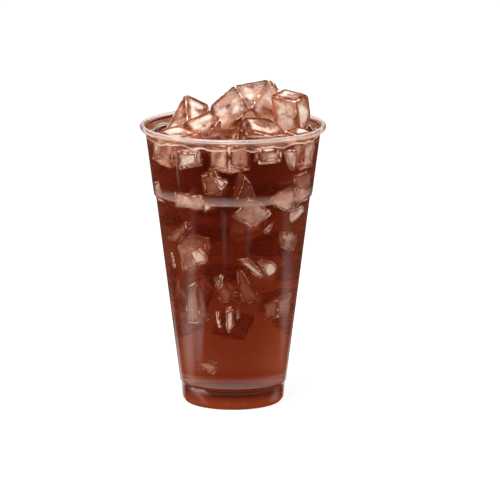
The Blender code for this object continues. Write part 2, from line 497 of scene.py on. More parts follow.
# %% Patterns that a finish can follow
def noise_of(tree, scale, detail=2.0, stretch=(1.0, 1.0, 1.0)):
    """Soft noise on Object coordinates. Scale is in turns for each metre."""
    place = tree.nodes.new("ShaderNodeTexCoord")
    fit = tree.nodes.new("ShaderNodeMapping")
    fit.inputs["Scale"].default_value = stretch
    made = tree.nodes.new("ShaderNodeTexNoise")
    made.inputs["Scale"].default_value = scale
    made.inputs["Detail"].default_value = detail
    tree.links.new(place.outputs["Object"], fit.inputs["Vector"])
    tree.links.new(fit.outputs["Vector"], made.inputs["Vector"])
    return made.outputs["Fac"]


def height_of(tree):
    """Height above the table, from Object coordinates."""
    place = tree.nodes.new("ShaderNodeTexCoord")
    split = tree.nodes.new("ShaderNodeSeparateXYZ")
    tree.links.new(place.outputs["Object"], split.inputs[0])
    return split.outputs["Z"]


def stored(tree, name):
    """A number that the mesh has at each of its points or faces."""
    node = tree.nodes.new("ShaderNodeAttribute")
    node.attribute_name = name
    return node.outputs["Fac"]


# %% The bands of the plastic
# Soft white bands just above the shoulder and the step: painted highlights.
STEP_HIGHLIGHT_BANDS = (
    # height, then the millimetres over it where a band starts, is full, begins to fade and ends, and the
    # share of the plastic that is painted white there
    (SHOULDER_HEIGHT, 0.1, 0.6, 0.6, 6.1, 0.11),
    (STEP_HEIGHT, 0.1, 0.6, 0.6, 7.1, 0.07),
)
LIP_HIGHLIGHT_BANDS = (
    # the same, for the painted highlight lines along the lip
    (CUP_HEIGHT, -3.2, -2.6, 0.0, 1.0, 0.035),
    (CUP_HEIGHT, -1.9, -1.7, -1.5, -1.3, 0.26),
    (CUP_HEIGHT, -0.22, -0.08, 0.0, 1.0, 0.32),
)


def white_band_share(tree, bands):
    """How much of the plastic is white at each height: soft bands of painted highlight round the cup."""
    height = height_of(tree)
    total = 0.0
    for base, start, full, fading, end, most in bands:
        rise = map_range(tree, height, base + start * MM, base + full * MM, 0.0, most)
        fade = map_range(tree, height, base + fading * MM, base + end * MM, 1.0, 0.0)
        total = maths(tree, "ADD", total, maths(tree, "MULTIPLY", rise, fade))
    return total


print("bands round the cup:", len(STEP_HIGHLIGHT_BANDS) + len(LIP_HIGHLIGHT_BANDS))

# %% The plastic
PLASTIC_TINT = (0.99, 0.975, 0.965)
PLASTIC_SHADOW = (0.96, 0.96, 0.96)
PLASTIC_IOR = 1.46
DRINK_IOR = 1.33
# The pink of the bands above the steps, which are painted highlights.
STEP_HIGHLIGHT_TINT = (0.95, 0.72, 0.62)
STEP_HIGHLIGHT_IS_TINTED = 0.08
# The foot's orange-brown share is painted light, from the table through the drink.
FOOT_GLOW_TINT = (0.47, 0.10, 0.03)
FOOT_GLOW_IS_TINTED = 0.05
FOOT_GLOW_SHARE = 0.27
FOOT_CLEARS = (2.5 * MM, 10.5 * MM)


def make_plastic(name, ior, roughness):
    """Clear plastic with painted highlights in bands and along the lip, and a painted glow in the foot."""
    finish, shader = new_finish(name, PLASTIC_TINT, roughness, ior, 1.0)
    tree = finish.node_tree
    step_highlight = white_band_share(tree, STEP_HIGHLIGHT_BANDS)
    lip_highlight = white_band_share(tree, LIP_HIGHLIGHT_BANDS)
    foot = map_range(tree, height_of(tree), *FOOT_CLEARS, FOOT_GLOW_SHARE, 0.0)
    not_clear = maths(tree, "ADD", maths(tree, "ADD", step_highlight, lip_highlight), foot)
    tree.links.new(maths(tree, "SUBTRACT", 1.0, not_clear), shader.inputs["Transmission Weight"])
    highlight_tinted = map_range(tree, step_highlight, 0.0, STEP_HIGHLIGHT_IS_TINTED, 0.0, 1.0)
    tint = blend(tree, highlight_tinted, PLASTIC_TINT, STEP_HIGHLIGHT_TINT)
    # Towards the foot the colour turns to the painted glow.
    foot_glow = map_range(tree, foot, 0.0, FOOT_GLOW_IS_TINTED, 0.0, 1.0, "LINEAR")
    tint = blend(tree, foot_glow, tint, FOOT_GLOW_TINT)
    tree.links.new(tint, shader.inputs["Base Color"])
    let_lamps_through(finish, PLASTIC_SHADOW)
    return finish


PLASTIC = make_plastic("clear_plastic", PLASTIC_IOR, 0.03)
WET_PLASTIC = make_plastic("wet_plastic", PLASTIC_IOR / DRINK_IOR, 0.12)
print("plastics:", PLASTIC.name, "and", WET_PLASTIC.name)

# %% [markdown]
# Above the waterline the inside of the cup is still wet: a thin film of coffee was left there when the
# drink was poured and the ice dropped in. It is browner where it ran together. Along the waterline the
# plastic is partly white in a ragged thread: a painted highlight, for the glint where the drink climbs
# the wall. How thick the film is and where the thread runs are numbers stored in the mesh, once the
# height of the drink is known.

# %% The splashed plastic
FILM_THIN = (0.97, 0.79, 0.64)
FILM_THICK = (0.10, 0.010, 0.002)
FILM_SHADOW = (0.85, 0.75, 0.70)
FILM_POWER = 3.0
RUNS_STRETCH = (1.0, 1.0, 0.35)
# The white thread along the waterline is a painted highlight, for the glint where the drink climbs the
# wall.
GLINT_THREAD_TINT = (0.93, 0.80, 0.74)
GLINT_THREAD_SHARE = 0.9


def make_splashed_plastic():
    """Plastic with a film of coffee in long runs, and a ragged white thread of painted highlight."""
    finish, shader = new_finish("splashed_plastic", PLASTIC_TINT, 0.08, PLASTIC_IOR, 1.0)
    tree = finish.node_tree
    runs = map_range(tree, noise_of(tree, 90.0, 3.0, RUNS_STRETCH), 0.35, 0.65, 0.72, 1.0)
    clear = maths(tree, "SUBTRACT", 1.0, maths(tree, "MULTIPLY", stored(tree, "film"), runs))
    brown = maths(tree, "SUBTRACT", 1.0, maths(tree, "POWER", clear, FILM_POWER))
    broken = map_range(tree, noise_of(tree, 160.0, 2.0), 0.38, 0.56, 0.35, 1.0)
    white = maths(tree, "MULTIPLY", stored(tree, "glint_thread"), broken)
    filmed = blend(tree, brown, FILM_THIN, FILM_THICK)
    tree.links.new(blend(tree, white, filmed, GLINT_THREAD_TINT), shader.inputs["Base Color"])
    glint_cover = maths(tree, "MULTIPLY", white, GLINT_THREAD_SHARE)
    tree.links.new(maths(tree, "SUBTRACT", 1.0, glint_cover), shader.inputs["Transmission Weight"])
    let_lamps_through(finish, FILM_SHADOW)
    return finish


SPLASHED_PLASTIC = make_splashed_plastic()
print("above the waterline:", SPLASHED_PLASTIC.name)

# %% Spin the cup
def make_cup():
    """The sheet, with its inside line pulled onto the axis so that the spin closes it there."""
    skin = cup_skin()
    inside = offset_inwards(skin, WALL)
    inside[0] = (0.0, inside[0][1])
    sheet = spun(skin + inside[::-1], CUP_TURNS)
    cup = add_piece("clear_cup", sheet, [PLASTIC, WET_PLASTIC, SPLASHED_PLASTIC])
    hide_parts("cup")
    return cup


CUP = make_cup()

# %% [markdown]
# ## Ice
#
# A block of ice that has stood in a drink is still a block: flat faces, edges that have melted round,
# and a few corners broken off. The imported solids have that form. Here each one is wrapped in a fine
# even mesh, so that its faces can be dented a little, and every point is told how far it lies from the
# nearest edge. The finish uses this distance: ice is clear along its edges and cloudy in the middle.
#
# Points also get a tone, which is much the same all over one flat face, so that each face of a block
# can be more or less cloudy than its neighbours, as in real ice. Faces that turn towards the upper left
# front are made cloudier and so paler, as if lit from there: that part of the tone is painted light.

# %% Find the edges of a block
SHARP_ANGLE = math.radians(14.0)
NARROW = 1.2 * MM


def is_narrow(face):
    """True for the slim faces that a bevel leaves."""
    longest = max(edge.calc_length() for edge in face.edges)
    return 2 * face.calc_area() / longest < NARROW


def sharp_edges(bm, least=SHARP_ANGLE):
    """The ends of every edge where two faces meet at an angle, as an array of pairs of points.

    Across a bevelled edge only the middle line counts, which has turned faces on both of its sides.
    """
    sharp = []
    for edge in bm.edges:
        if not edge.is_manifold or edge.calc_face_angle(0.0) < least:
            continue
        narrow = [is_narrow(face) for face in edge.link_faces]
        if all(narrow) or not any(narrow):
            sharp.append([v.co[:] for v in edge.verts])
    return np.array(sharp)


def distance_to_edges(points, segments):
    """How far each point lies from the nearest of the segments."""
    nearest = np.full(len(points), 1.0)
    for a, b in segments:
        along = b - a
        share = np.clip((points - a) @ along / max(along @ along, 1e-12), 0.0, 1.0)
        nearest = np.minimum(nearest, np.linalg.norm(points - a - share[:, None] * along, axis=1))
    return nearest


# %% Use a modifier on a bmesh
def holder_of(name, bm):
    """An object for a modifier to work on."""
    mesh = bpy.data.meshes.new(name)
    bm.to_mesh(mesh)
    holder = bpy.data.objects.new(name, mesh)
    bpy.context.scene.collection.objects.link(holder)
    return holder


def discard(holder):
    """Takes a holder away again, with its mesh."""
    mesh = holder.data
    bpy.data.objects.remove(holder, do_unlink=True)
    bpy.data.meshes.remove(mesh)


def modified(holder):
    """What the modifiers make of a holder, as a new bmesh."""
    graph = bpy.context.evaluated_depsgraph_get()
    mesh = bpy.data.meshes.new_from_object(holder.evaluated_get(graph))
    bm = bmesh.new()
    bm.from_mesh(mesh)
    bpy.data.meshes.remove(mesh)
    return bm


def wrap_finely(bm, voxel):
    """The same shape as a new bmesh of small even faces."""
    holder = holder_of("wrap", bm)
    remesh = holder.modifiers.new("wrap", "REMESH")
    remesh.mode = "VOXEL"
    remesh.voxel_size = voxel
    fine = modified(holder)
    discard(holder)
    return fine


# %% Melt a block
ICE_VOXEL = 0.5 * MM
DENT_SIZE = 6.0 * MM
DENT_DEPTH = 0.28 * MM
RIPPLE_SIZE = 1.9 * MM
RIPPLE_DEPTH = 0.07 * MM
MELTED_AWAY = 0.3 * DENT_DEPTH
SEED_STEPS = (0.37, 0.11, 0.53)
# Faces turned this way, up and to the left front, get a paler tone: painted light.
PAINTED_LIGHT_FROM = Vector((-0.35, -0.55, 0.75)).normalized()
FACE_TONES = 2.1
MIDDLE_TONE = 0.88
PAINTED_LIGHT_IN_TONE = 0.2
TONE_BY_CHANCE = 0.6
LEAST_TONE = 0.35


def smooth(bm, passes=1):
    """Evens out small bumps."""
    for _ in range(passes):
        bmesh.ops.smooth_vert(
            bm, verts=bm.verts, factor=0.5, use_axis_x=True, use_axis_y=True, use_axis_z=True
        )


def dent(bm, seed, depth):
    """Melts shallow dents and fine ripples into the faces."""
    smooth(bm)
    bm.normal_update()
    shift = Vector([seed * step for step in SEED_STEPS])
    for vertex in bm.verts:
        dents = noise.noise(vertex.co / DENT_SIZE + shift) * DENT_DEPTH
        ripples = noise.noise(vertex.co / RIPPLE_SIZE + shift) * RIPPLE_DEPTH
        vertex.co += vertex.normal * (dents + ripples - MELTED_AWAY) * depth


def melted(bm, seed, voxel=ICE_VOXEL, depth=1.0, least=SHARP_ANGLE):
    """A fine melted copy of a sharp block.

    Its points have their tone and, in millimetres, their distance from the edges.
    """
    segments = sharp_edges(bm, least)
    fine = wrap_finely(bm, voxel)
    points = np.array([v.co[:] for v in fine.verts])
    away = distance_to_edges(points, segments) / MM
    faces = BVHTree.FromBMesh(bm)
    tone = fine.verts.layers.float.new("tone")
    for vertex in fine.verts:
        facing = faces.find_nearest(vertex.co)[1]
        chance = noise.noise(facing * FACE_TONES + Vector((seed, 0.3 * seed, 5.0)))
        # A part of the tone follows how a face turns towards the light: painted light.
        bright = MIDDLE_TONE + PAINTED_LIGHT_IN_TONE * facing.dot(PAINTED_LIGHT_FROM) + TONE_BY_CHANCE * chance
        vertex[tone] = min(max(bright, LEAST_TONE), 1.0)
    dent(fine, seed, depth)
    layer = fine.verts.layers.float.new("from_edge")
    for vertex, value in zip(fine.verts, away):
        vertex[layer] = float(value)
    return fine


# %% [markdown]
# ## The finish of the ice
#
# Clear ice bends light by 1.31 against air. Against the drink, which is nearly as dense, it hardly bends
# light at all, so the faces under the surface have a second finish. Both are clear near the edges and
# cloudy in the middle of each face, and a thin broken white line runs along the edges themselves: a
# painted highlight, for the glint on the rounded edges. The brown and pink tints, browner towards the
# edges and low down, are painted light: they paint in the drink that real ice shows by the light that
# comes through it and by what its edges bend into view.
#
# Ice that is wholly sunk has three finishes. What lies just behind the front wall is as cloudy as the
# blocks above. On the other sides it is far clearer, because its white lines would be seen right
# through the cup as dark flecks. What lies deep in the drink is only a soft shade.

# %% How a finish of ice follows its block
ICE_IOR = 1.31
WARM_CLOUD = (0.84, 0.69, 0.60)
# What is shown where the nodes can't be followed.
PLAIN_ROUGHNESS = 0.06
PLAIN_CLEARNESS = 0.6
# Sizes of the painted white highlight along the ice's edges.
EDGE_HIGHLIGHT_NOISE = 0.6
EDGE_HIGHLIGHT_CORE = 0.4
# Where the painted brown of the drink gives way to the clear tint, in millimetres from the edge.
DRINK_PAINTED_BY_THE_EDGE = (0.4, 2.6)
TINT_BY_CLOUD = (0.1, 0.6)
LOW_TO_HIGH = (143.5 * MM, 153.0 * MM)
BUMP_STRENGTH = 0.25
BUMP_DISTANCE = 0.1 * MM
ICE_SHADOW = (0.85, 0.80, 0.77)


def edge_highlight(tree, from_edge, width, most):
    """A ragged and broken white line along the edges: a painted highlight."""
    reach = EDGE_HIGHLIGHT_NOISE * width
    ragged = map_range(tree, noise_of(tree, 420.0, 2.0), 0.3, 0.7, -reach, reach, "LINEAR")
    near = maths(tree, "ADD", from_edge, ragged)
    broken = map_range(tree, noise_of(tree, 200.0, 1.0), 0.44, 0.56, 0.0, 1.0)
    line = map_range(tree, near, EDGE_HIGHLIGHT_CORE * width, width, most, 0.0)
    return maths(tree, "MULTIPLY", line, broken)


def cloudiness(tree, from_edge, middle, clearest_patch, clearest_face):
    """From 0 at the edges to 1 in the middle of a face, less in some patches and on some faces."""
    inner = map_range(tree, from_edge, *middle, 0.0, 1.0)
    patches = map_range(tree, noise_of(tree, 130.0, 3.0), 0.38, 0.64, clearest_patch, 1.0)
    toned = maths(tree, "MULTIPLY", stored(tree, "tone"), 1.0 - clearest_face)
    face = maths(tree, "ADD", clearest_face, toned)
    return maths(tree, "MULTIPLY", maths(tree, "MULTIPLY", inner, patches), face)


def add_bump(tree, shader):
    """The tiny pits that ice has in air. Against the drink they don't show."""
    bump = tree.nodes.new("ShaderNodeBump")
    bump.inputs["Strength"].default_value = BUMP_STRENGTH
    bump.inputs["Distance"].default_value = BUMP_DISTANCE
    tree.links.new(noise_of(tree, 900.0, 2.0), bump.inputs["Height"])
    tree.links.new(bump.outputs["Normal"], shader.inputs["Normal"])


def make_ice_finish(name, ior, clouds, line, middle, clearest_patch, clearest_face, roughness, tints):
    """A finish of ice. Its pairs are the least and the most of a thing, and its lengths are millimetres.

    The tints are those of the edge, of clear ice, and of cloudy ice low down and high up. Their brown
    and pink are painted light: the drink's colour, which real ice takes from light through the drink.
    """
    finish, shader = new_finish(name, WARM_CLOUD, PLAIN_ROUGHNESS, ior, PLAIN_CLEARNESS)
    tree = finish.node_tree
    from_edge = stored(tree, "from_edge")
    cloud = cloudiness(tree, from_edge, middle, clearest_patch, clearest_face)
    cloud = map_range(tree, cloud, 0.0, 1.0, *clouds, "LINEAR")
    if line:
        cloud = maths(tree, "MAXIMUM", cloud, edge_highlight(tree, from_edge, line, clouds[1]))
    tree.links.new(maths(tree, "SUBTRACT", 1.0, cloud), shader.inputs["Transmission Weight"])
    # Browner near the edges: painted light, for the drink that the edges bend into view.
    brown = blend(tree, map_range(tree, from_edge, *DRINK_PAINTED_BY_THE_EDGE, 0.0, 1.0), tints[0], tints[1])
    cloudy = blend(tree, map_range(tree, height_of(tree), *LOW_TO_HIGH, 0.0, 1.0), tints[2], tints[3])
    share = map_range(tree, cloud, *TINT_BY_CLOUD, 0.0, 1.0, "LINEAR")
    tree.links.new(blend(tree, share, brown, cloudy), shader.inputs["Base Color"])
    rough = map_range(tree, noise_of(tree, 300.0, 2.0), 0.3, 0.7, *roughness)
    tree.links.new(rough, shader.inputs["Roughness"])
    if ior == ICE_IOR:
        add_bump(tree, shader)
    let_lamps_through(finish, ICE_SHADOW)
    return finish


# %% Make the five finishes of ice
COOL_CLOUD = (0.80, 0.80, 0.81)
# The brown and pink of these tints are painted light from the drink.
AIR_TINTS = ((0.44, 0.17, 0.08), (0.52, 0.24, 0.14), (0.76, 0.50, 0.38), WARM_CLOUD)
WET_TINTS = ((0.50, 0.24, 0.16), (0.85, 0.66, 0.56), COOL_CLOUD, COOL_CLOUD)
SUNK_TINTS = ((0.66, 0.42, 0.33), (0.93, 0.82, 0.76), COOL_CLOUD, COOL_CLOUD)
DEEP_TINTS = ((0.97, 0.93, 0.90), (0.97, 0.92, 0.88), WARM_CLOUD, WARM_CLOUD)
ICE_FINISHES = (
    # name, bend of light, cloudiness, width of the painted highlight along the edges, where the middle of a
    # face starts and is full, cloudiness of the clearest patch and of the clearest face, roughness, tints
    ("ice_in_air", ICE_IOR, (0.05, 0.95), 0.35, (0.9, 4.0), 0.15, 0.0, (0.02, 0.10), AIR_TINTS),
    ("ice_in_drink", 1.02, (0.08, 0.90), 0.7, (1.2, 4.0), 0.15, 0.6, (0.05, 0.13), WET_TINTS),
    ("sunk_ice", 1.01, (0.05, 0.92), 0.5, (0.5, 2.0), 0.20, 0.0, (0.06, 0.12), SUNK_TINTS),
    ("far_ice", 1.01, (0.03, 0.40), 0.5, (0.5, 3.0), 0.30, 0.0, (0.0, 0.02), SUNK_TINTS),
    ("deep_ice", 1.002, (0.02, 0.32), 0.0, (0.8, 3.6), 0.10, 0.0, (0.0, 0.02), DEEP_TINTS),
)
ICE_IN_AIR, ICE_IN_DRINK, SUNK_ICE, FAR_ICE, DEEP_ICE = [make_ice_finish(*row) for row in ICE_FINISHES]
print("finishes of ice:", len(ICE_FINISHES))

# %% [markdown]
# ## The surface of the drink
#
# Liquid in a cup isn't a flat disc. It climbs a little up the wall and up the side of each block of
# ice, and it trembles between them. Along the wall it runs in scallops, where the ice pushes it up and
# lets it sink. The height below is worked out for any point of the surface, from slow waves and from
# the distance to the wall and to the ice.

# %% Where the drink ends in the wall
DRINK_LEVEL = 142.5 * MM
INTO_WALL = 0.1 * MM
UNDER_LEVEL = 0.5 * MM
INSIDE_LIP = 1.5 * MM
UPRIGHT_FROM = 0.8 * FOOT_RADIUS
WALL_ABOVE = (45.97 * MM, 146.0 * MM)


def drink_skin():
    """A line just inside the plastic, from the bottom of the cup up to the drink's level."""
    inside = offset_inwards(cup_skin(), WALL - INTO_WALL)
    top = DRINK_LEVEL - UNDER_LEVEL
    widest = RIM_RADIUS - INSIDE_LIP
    return [(r, z) for r, z in inside if z < top and r < widest]


def wall_radius(height):
    """The drink's radius in the wall at a height."""
    line = [(r, z) for r, z in drink_skin() if r > UPRIGHT_FROM] + [WALL_ABOVE]
    return float(np.interp(height, [z for r, z in line], [r for r, z in line]))


SURFACE_RADIUS = wall_radius(DRINK_LEVEL)
print("the drink is", round(SURFACE_RADIUS / MM, 2), "mm in radius at its surface")

# %% [markdown]
# Some blocks in the cup are cloudier than others, whatever way they face. A share for each of those
# makes all of its tones paler or darker.

# %% Melt the blocks that stand out of the drink
ICE_NODES = sorted(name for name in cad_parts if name.startswith("ice_"))
JOIN_GAP = 0.002 * MM
CLOUD_SHARES = {
    "ice_peak": 0.75,
    "ice_mid_left": 0.75,
    "ice_mid_right": 1.6,
    "ice_front_left": 1.2,
    "ice_right": 1.3,
    "ice_back_right": 1.1,
}


def sharp_block(name):
    """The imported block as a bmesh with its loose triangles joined."""
    bm = bmesh.new()
    bm.from_mesh(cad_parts[name].data)
    bmesh.ops.remove_doubles(bm, verts=bm.verts, dist=JOIN_GAP)
    return bm


def join_meshes(meshes):
    """One bmesh that holds copies of all of them."""
    joined = bmesh.new()
    part = bpy.data.meshes.new("part")
    for bm in meshes:
        bm.to_mesh(part)
        joined.from_mesh(part)
    bpy.data.meshes.remove(part)
    return joined


MELTED = {name: melted(sharp_block(name), number) for number, name in enumerate(ICE_NODES)}
for name, share in CLOUD_SHARES.items():
    tone = MELTED[name].verts.layers.float["tone"]
    for vertex in MELTED[name].verts:
        vertex[tone] *= share
ALL_BLOCKS = join_meshes(MELTED.values())
ICE_TREE = BVHTree.FromBMesh(ALL_BLOCKS)
print("melted blocks:", len(MELTED))

# %% How high the drink stands at each point
WALL_CLIMB = 0.3 * MM
ICE_CLIMB = 0.6 * MM
CLIMB_REACH = 1.6 * MM
FARTHEST_ICE = 4 * MM
WAVE_SIZE = 9.0 * MM
WAVE_HEIGHT = 0.45 * MM
WAVE_SLICE = 3.7
SCALLOP_SIZE = 7.0 * MM
SCALLOP_HEIGHT = 1.6 * MM
SCALLOP_SLICE = 8.2
SCALLOP_POWER = 0.7


def surface_height(x, y):
    """The drink's height at (x, y): slow waves, and a climb at the wall and at the ice."""
    radius = math.hypot(x, y)
    spot = Vector((x / WAVE_SIZE, y / WAVE_SIZE, WAVE_SLICE))
    height = DRINK_LEVEL + noise.noise(spot) * WAVE_HEIGHT
    to_wall = max(SURFACE_RADIUS - radius, 0.0)
    scallop = noise.noise(Vector((x / SCALLOP_SIZE, y / SCALLOP_SIZE, SCALLOP_SLICE)))
    fullness = abs(scallop) ** SCALLOP_POWER
    climb = WALL_CLIMB + SCALLOP_HEIGHT * fullness * math.copysign(1.0, scallop)
    height += climb * math.exp(-to_wall / CLIMB_REACH)
    nearest = ICE_TREE.find_nearest((x, y, DRINK_LEVEL), FARTHEST_ICE)[3]
    if nearest is not None:
        height += ICE_CLIMB * math.exp(-nearest / CLIMB_REACH)
    return height


print("in the middle it stands at", round(surface_height(0.0, 0.0) / MM, 1), "mm")

# %% [markdown]
# ## The drink
#
# Coffee is clear but dark. Its colour comes from how far light goes through it, so it is a volume that
# absorbs light, and not paint on a surface: a thin layer is orange-brown and the depth of the cup is
# nearly black. It reaches a little way into the plastic, because a thin slit of air between the drink
# and the cup would shine like a mirror.
#
# How far a face bends light depends on what it touches, and that is a number stored in the mesh.

# %% The drink's finish
DRINK_TINT = (1.0, 0.93, 0.88)
DRINK_SHADOW = (1.0, 0.97, 0.95)
NO_TINT = (1.0, 1.0, 1.0)
ABSORBED_PER_METRE = (31.0, 64.0, 84.0)
DENSITY_OVER_MOST = 1.25


def absorb(tree, per_metre):
    """A plain Volume Absorption. What it takes is its density times one less its colour."""
    density = max(per_metre) * DENSITY_OVER_MOST
    volume = tree.nodes.new("ShaderNodeVolumeAbsorption")
    volume.inputs["Color"].default_value = (*[1.0 - share / density for share in per_metre], 1.0)
    volume.inputs["Density"].default_value = density
    tree.links.new(volume.outputs[0], tree.nodes["Material Output"].inputs["Volume"])


def make_coffee():
    """One finish for all faces, because a volume has to be left by the finish that it was entered by."""
    finish, shader = new_finish("coffee", DRINK_TINT, 0.0, DRINK_IOR, 1.0)
    tree = finish.node_tree
    tree.links.new(stored(tree, "bend"), shader.inputs["IOR"])
    tint = blend(tree, stored(tree, "at_ice"), DRINK_TINT, NO_TINT)
    tree.links.new(tint, shader.inputs["Base Color"])
    let_lamps_through(finish, DRINK_SHADOW)
    absorb(tree, ABSORBED_PER_METRE)
    return finish


COFFEE = make_coffee()
print("the drink's finish:", COFFEE.name)

# %% Spin the drink and lift its surface
DRINK_TURNS = 288
SURFACE_RINGS = 76
EDGE_BLEND = 7 * MM
EDGE_SPACING = 0.7 * MM
EDGE_TO_LOW = 0.3 * MM
LEVEL_SLACK = 0.01 * MM
SIDE_FROM = 0.7
WALL_FROM = 0.985


def drink_outline():
    """From the middle of the surface out to the wall, down the wall, and in under to the axis."""
    rings = [(SURFACE_RADIUS * i / SURFACE_RINGS, DRINK_LEVEL) for i in range(SURFACE_RINGS)]
    heights = np.arange(DRINK_LEVEL, DRINK_LEVEL - EDGE_BLEND, -EDGE_SPACING)
    side = [(wall_radius(z), z) for z in heights]
    low = [(r, z) for r, z in drink_skin() if z < DRINK_LEVEL - EDGE_BLEND - EDGE_TO_LOW]
    low[0] = (0.0, low[0][1])
    return rings + side + low[::-1]


def lift_surface(bm):
    """Gives the top its waves, and lets the side follow the waterline."""
    for vertex in bm.verts:
        x, y, z = vertex.co
        radius = math.hypot(x, y)
        if z > DRINK_LEVEL - LEVEL_SLACK:
            vertex.co.z = surface_height(x, y)
        elif z > DRINK_LEVEL - EDGE_BLEND and radius > SIDE_FROM * SURFACE_RADIUS:
            share = (z - DRINK_LEVEL + EDGE_BLEND) / EDGE_BLEND
            edge = SURFACE_RADIUS / radius
            vertex.co.z += (surface_height(x * edge, y * edge) - DRINK_LEVEL) * share
        if radius > WALL_FROM * SURFACE_RADIUS:
            fit = wall_radius(vertex.co.z) / radius
            vertex.co.x *= fit
            vertex.co.y *= fit


DRINK_MESH = spun(drink_outline(), DRINK_TURNS)
lift_surface(DRINK_MESH)
print("the drink has", len(DRINK_MESH.faces), "faces before the ice is cut out of it")

# %% [markdown]
# ## Room for the ice
#
# Where a block of ice stands in the drink there is no drink, so the blocks are cut out of it. Without
# this, the surface would be seen running through the middle of each clear block. The cutter is the
# blocks themselves, a hair larger.

# %% Tell each face of the drink what it touches
NO_BEND = 1.001
DEEPEST_BLOCK = 20 * MM
WITHIN_WALL = 0.993
TOUCHING = 0.12 * MM


def mark_contact(bm):
    """Tells every face of the drink how far it bends light: fully in air, and hardly at ice or plastic."""
    bend = bm.faces.layers.float.new("bend")
    at_ice = bm.faces.layers.float.new("at_ice")
    counts = {"air": 0, "ice": 0, "wall": 0}
    for face in bm.faces:
        face[bend] = NO_BEND
        where = "wall"
        centre = face.calc_center_median()
        near_top = centre.z > DRINK_LEVEL - DEEPEST_BLOCK
        if near_top and math.hypot(centre.x, centre.y) < WITHIN_WALL * wall_radius(centre.z):
            where = "ice" if ICE_TREE.find_nearest(centre, TOUCHING)[3] is not None else "air"
        if where == "ice":
            face[at_ice] = 1.0
            face[bend] = DRINK_IOR / ICE_IOR
        elif where == "air":
            face[bend] = DRINK_IOR
        counts[where] += 1
    print("drink faces by what they touch:", counts)


# %% Cut the blocks out of the drink
ICE_CLEARANCE = 0.04 * MM


def grown_copy(bm, distance):
    """The same shape, a little larger all round."""
    copy = bm.copy()
    copy.normal_update()
    for vertex in copy.verts:
        vertex.co += vertex.normal * distance
    return copy


def make_drink():
    """The turned drink with a hollow for each block of ice."""
    cutter = holder_of("hollows", grown_copy(ALL_BLOCKS, ICE_CLEARANCE))
    holder = holder_of("whole_drink", DRINK_MESH)
    cut = holder.modifiers.new("cut", "BOOLEAN")
    cut.operation = "DIFFERENCE"
    cut.solver = "MANIFOLD"
    cut.object = cutter
    cut_drink = modified(holder)
    discard(holder)
    discard(cutter)
    mark_contact(cut_drink)
    drink = add_piece("iced_coffee", cut_drink, [COFFEE])
    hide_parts("drink")


make_drink()

# %% [markdown]
# Now that the height of the drink is known all round the wall, the inside of the cup can be told where
# it is wet. The film is thin at the front and thick at the back.

# %% Wet the inside of the cup
NEAR_LEVEL = 4 * MM
SURELY_UNDER = 3 * MM
FAR_UNDER = -9.0
JUST_UNDER = -0.2
LIP_UNDERSIDE = CUP_HEIGHT - 1.6 * MM
FILM_AT_FRONT = 0.06
FILM_AT_BACK = 0.94
FILM_STARTS = -0.65
FILM_WIDTH = 0.8
# Where the thread of painted highlight runs, in millimetres above the drink's surface.
THREAD_MIDDLE = 0.40
THREAD_REACH = 0.70
WET_SLOT = 1
SPLASHED_SLOT = 2


def film_at(y):
    """How thick the film is at a distance behind the axis, with a smooth rise from front to back."""
    back = min(max((y / RIM_RADIUS - FILM_STARTS) / FILM_WIDTH, 0.0), 1.0)
    return FILM_AT_FRONT + FILM_AT_BACK * back * back * (3 - 2 * back)


def wet_the_cup():
    """Below the waterline the inside of the plastic meets the drink, and above it there is a film."""
    mesh = CUP.data
    film = mesh.attributes.new("film", "FLOAT", "POINT")
    glint_thread = mesh.attributes.new("glint_thread", "FLOAT", "POINT")
    above = {}
    for vertex in mesh.vertices:
        x, y, z = vertex.co
        over = (z - surface_height(x, y)) / MM if z > DRINK_LEVEL - NEAR_LEVEL else FAR_UNDER
        above[vertex.index] = over
        film.data[vertex.index].value = film_at(y)
        glint_thread.data[vertex.index].value = max(1.0 - abs(over - THREAD_MIDDLE) / THREAD_REACH, 0.0)
    counts = {WET_SLOT: 0, SPLASHED_SLOT: 0}
    for face in mesh.polygons:
        if face.normal.z <= 0 or face.center.z > LIP_UNDERSIDE:
            continue
        low = face.center.z < DRINK_LEVEL - SURELY_UNDER
        under = low or min(above[v] for v in face.vertices) < JUST_UNDER
        face.material_index = WET_SLOT if under else SPLASHED_SLOT
        counts[face.material_index] += 1
    print("faces of the cup that are wet:", counts[WET_SLOT], "and splashed:", counts[SPLASHED_SLOT])


wet_the_cup()

# %% Put the melted blocks in their places
def is_under(point):
    """True below the drink's surface."""
    if abs(point.z - DRINK_LEVEL) > SURELY_UNDER:
        return point.z < DRINK_LEVEL
    return point.z < surface_height(point.x, point.y)


def place_blocks():
    """Gives each block's faces the finish for air or for the drink."""
    for name in ICE_NODES:
        bm = MELTED[name]
        for face in bm.faces:
            face.material_index = 1 if is_under(face.calc_center_median()) else 0
        block = add_piece(name.replace("ice_", "melted_block_"), bm, [ICE_IN_AIR, ICE_IN_DRINK])
        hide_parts(name)


place_blocks()
